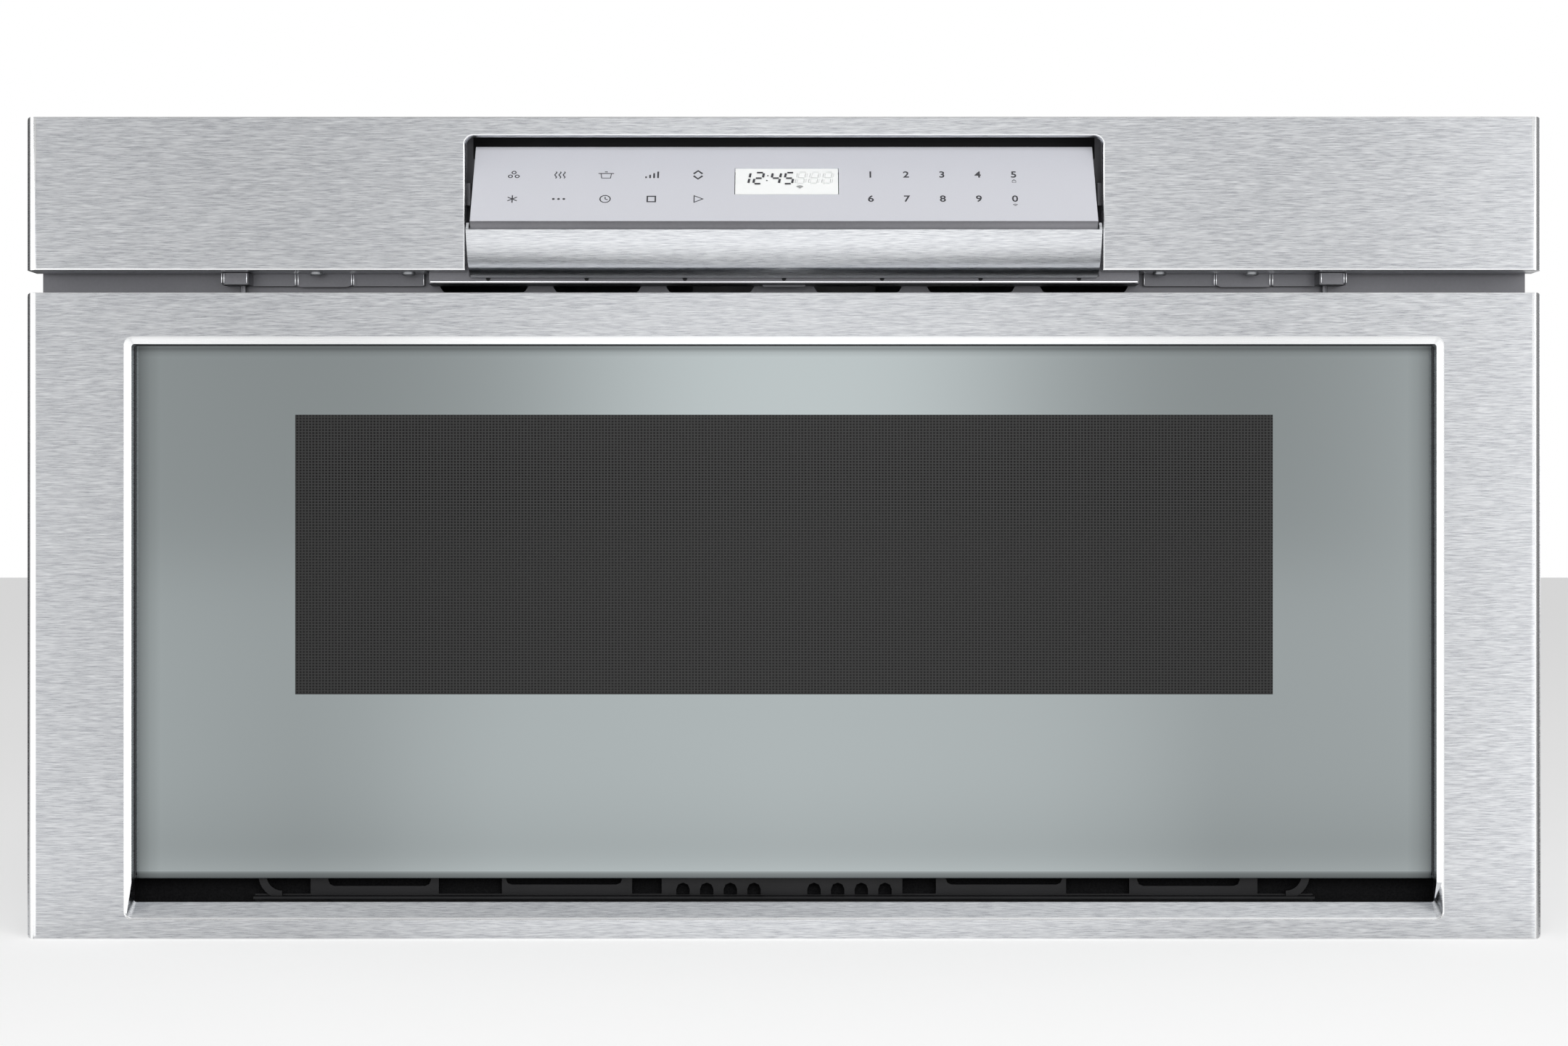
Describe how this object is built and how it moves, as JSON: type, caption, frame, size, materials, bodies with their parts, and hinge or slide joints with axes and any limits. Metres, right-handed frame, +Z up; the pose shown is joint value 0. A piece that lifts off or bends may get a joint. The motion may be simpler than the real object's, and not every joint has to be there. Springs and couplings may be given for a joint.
{
  "type": "microwave drawer",
  "caption": "Built-in microwave drawer: stainless front with a mirrored window, an angled touch-key pod above it, and a powered oven drawer that slides out on telescopic rails.",
  "frame": {"origin": "centre of the footprint, on the level of the drawer front's lower edge", "axes": "+X to the viewer's right, +Y away from the viewer into the kitchen cabinet, +Z up"},
  "size_m": [0.7588, 0.654, 0.4113],
  "materials": {
    "stainless": "brushed from side to side, satin",
    "mirror_glass": "grey-green half mirror, polished",
    "clear_glass": "clear, polished",
    "silver_glass": "silver print behind satin glass",
    "display": "white liquid crystal cell",
    "black_steel": "black enamel, punched",
    "grey_steel": "satin dark grey coat",
    "zinc_steel": "zinc-coated sheet",
    "oven_enamel": "stoved speckled grey paint",
    "white_ceramic": "smooth off-white",
    "black_plastic": "fine moulded grain",
    "white_acetal": "natural, slightly waxy",
    "aluminium": "drawn and pressed",
    "copper_winding": "varnished winding and stack",
    "circuit_board": "green solder mask"
  },
  "bodies": {
    "cabinet": {"fascia": "stainless", "pod_nose": "stainless", "cavity_shell": "oven_enamel", "control_glass": "silver_glass", "display_window": "display", "pod_frame": "black_plastic", "control_board": "circuit_board", "pod_housing": "grey_steel", "face_plate": "grey_steel", "cabinet_wrap": "zinc_steel", "base_pan": "zinc_steel", "rear_panel": "zinc_steel", "cord_gland": "black_plastic", "gear_motor": "grey_steel", "stirrer_cover": "white_ceramic", "waveguide": "aluminium", "stirrer_motor": "grey_steel", "magnetron": "aluminium", "hv_transformer": "copper_winding", "hv_capacitor": "aluminium", "fan_shroud": "zinc_steel", "fan_motor": "grey_steel", "air_duct": "zinc_steel", "exhaust_hood": "zinc_steel", "power_board": "circuit_board", "cavity_lamp": "white_ceramic", "outer_rail_right": "zinc_steel", "outer_rail_left": "zinc_steel", "rail_bracket_right": "zinc_steel", "rail_bracket_left": "zinc_steel", "shaft_bush_right": "black_plastic", "shaft_bush_left": "black_plastic", "fascia_bracket_right": "grey_steel", "fascia_bracket_left": "grey_steel", "interlock_switch_right": "black_plastic", "interlock_switch_left": "black_plastic"},
    "drawer": {"drawer_frame": "stainless", "door_glass": "mirror_glass", "window_screen": "black_steel", "door_pan": "black_steel", "choke_cover": "black_plastic", "inner_pane": "clear_glass", "frame_web_right": "zinc_steel", "frame_web_left": "zinc_steel", "air_guide": "black_steel", "oven_pan": "oven_enamel", "pan_floor": "white_ceramic", "inner_rail_right": "zinc_steel", "inner_rail_left": "zinc_steel", "rack_right": "white_acetal", "rack_left": "white_acetal"},
    "mid_slide_right": {"mid_rail_right": "zinc_steel"},
    "mid_slide_left": {"mid_rail_left": "zinc_steel"},
    "drive_axle": {"drive_shaft": "aluminium", "pinion_right": "white_acetal", "pinion_left": "white_acetal", "drive_wheel": "white_acetal"},
    "motor_gear": {"motor_pinion": "aluminium"},
    "mode_stirrer": {"stirrer": "aluminium"},
    "cooling_fan": {"fan_wheel": "black_plastic"}
  },
  "joints": [
    {"name": "drawer_slide", "type": "slide", "parent": "cabinet", "child": "drawer", "axis": [0, -1, 0], "range_m": [0, 0.385]},
    {"name": "mid_slide_right_run", "type": "slide", "parent": "cabinet", "child": "mid_slide_right", "axis": [0, -1, 0], "range_m": [0, 0.1925]},
    {"name": "mid_slide_left_run", "type": "slide", "parent": "cabinet", "child": "mid_slide_left", "axis": [0, -1, 0], "range_m": [0, 0.1925]},
    {"name": "axle_turn", "type": "hinge", "parent": "cabinet", "child": "drive_axle", "pos_m": [0, -0.235, 0.076], "axis": [1, 0, 0], "range_deg": [0, 1103]},
    {"name": "motor_gear_turn", "type": "hinge", "parent": "cabinet", "child": "motor_gear", "pos_m": [0.242, -0.20813, 0.04913], "axis": [1, 0, 0], "range_deg": [-1890.9, 0]},
    {"name": "stirrer_spin", "type": "hinge", "parent": "cabinet", "child": "mode_stirrer", "pos_m": [0, -0.075, 0.3], "axis": [0, 0, 1], "continuous": true},
    {"name": "fan_spin", "type": "hinge", "parent": "cabinet", "child": "cooling_fan", "pos_m": [-0.117, 0.243, 0.232], "axis": [1, 0, 0], "continuous": true}
  ],
  "couplings": [
    {"joint": "mid_slide_right_run", "follows": "drawer_slide", "ratio": 0.5},
    {"joint": "mid_slide_left_run", "follows": "drawer_slide", "ratio": 0.5},
    {"joint": "axle_turn", "follows": "drawer_slide", "rad_per_m": 50},
    {"joint": "motor_gear_turn", "follows": "drawer_slide", "rad_per_m": -85.714}
  ]
}
